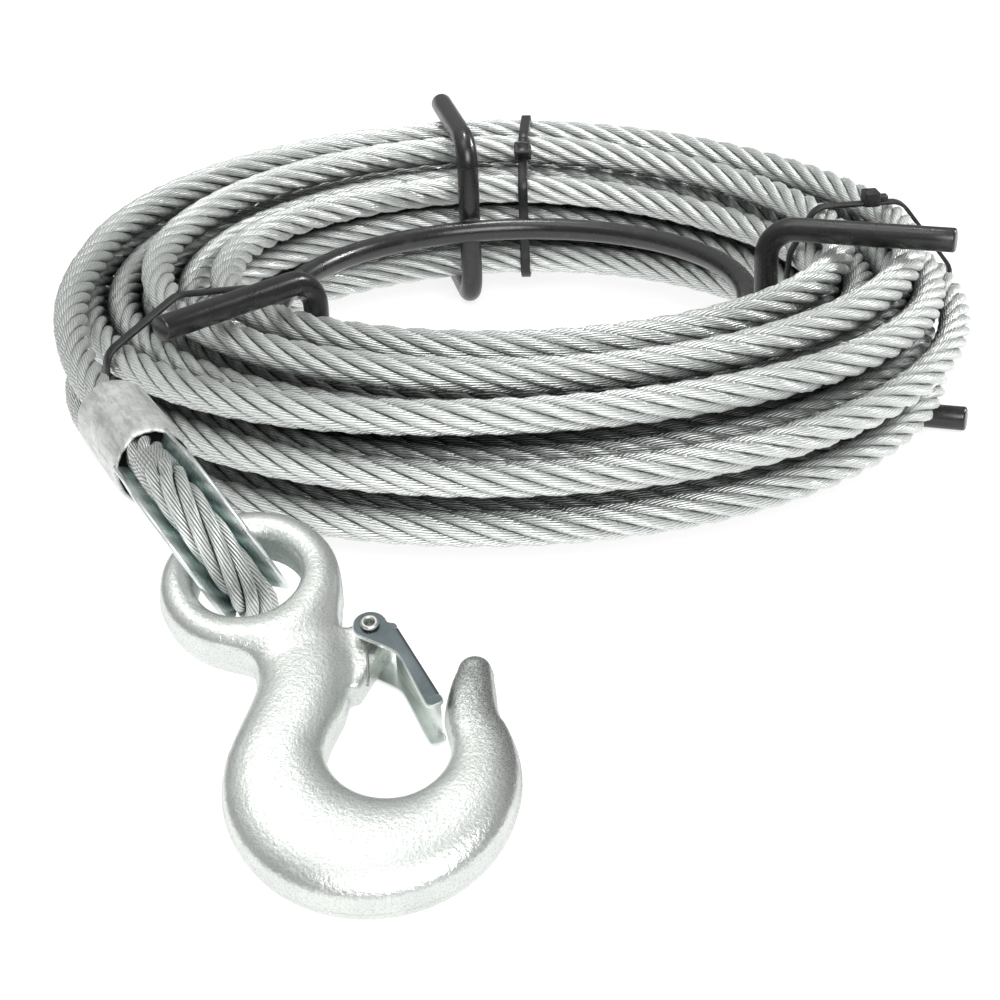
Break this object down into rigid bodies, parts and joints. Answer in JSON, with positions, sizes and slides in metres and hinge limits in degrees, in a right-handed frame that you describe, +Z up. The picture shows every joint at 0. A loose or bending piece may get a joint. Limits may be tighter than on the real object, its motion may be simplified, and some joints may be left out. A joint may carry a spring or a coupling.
{
  "type": "wire rope with safety hook on a rod reel",
  "caption": "Steel wire rope wound on a rod reel, with a ferruled thimble eye and a latched safety hook for pulling and lifting.",
  "frame": {"origin": "on the floor, under the middle of the reel", "axes": "+Z up along the reel's axis, +Y away from the hook, +X to the right as seen from the hook"},
  "size_m": [0.3087, 0.4879, 0.0728],
  "materials": {
    "wire_rope": "galvanised",
    "rope_tip": "fused and ground",
    "ferrule": "dull pressed",
    "thimble": "bright zinc",
    "forged_hook": "zinc plated forging",
    "latch_sheet": "zinc plated sheet",
    "rivet": "zinc plated",
    "spring_wire": "drawn",
    "black_bar": "satin",
    "tie_nylon": "smooth"
  },
  "bodies": {
    "reel_and_rope": {"wire_rope_coil": "wire_rope", "wire_rope_lead": "wire_rope", "wire_rope_eye": "wire_rope", "wire_rope_tail": "wire_rope", "rope_tip": "rope_tip", "ferrule": "ferrule", "thimble": "thimble", "reel_ring": "black_bar", "reel_arm_right": "black_bar", "reel_arm_back": "black_bar", "reel_arm_left": "black_bar", "tie_right": "tie_nylon", "tie_back": "tie_nylon", "tie_left": "tie_nylon"},
    "hook": {"hook_body": "forged_hook", "latch_rivet": "rivet", "latch_spring": "spring_wire"},
    "latch": {"hook_latch": "latch_sheet"}
  },
  "joints": [
    {"name": "hook_swing", "type": "hinge", "parent": "reel_and_rope", "child": "hook", "pos_m": [-0.07821, -0.2258, 0.04934], "axis": [0.8128, 0.345, 0.4695], "range_deg": [-90, 90]},
    {"name": "latch_pivot", "type": "hinge", "parent": "hook", "child": "latch", "pos_m": [-0.03589, -0.2602, 0.03539], "axis": [0, 0.4147, -0.91], "range_deg": [0, 40], "stiffness_Nm_per_rad": 0.06, "springref_deg": -20.05}
  ]
}
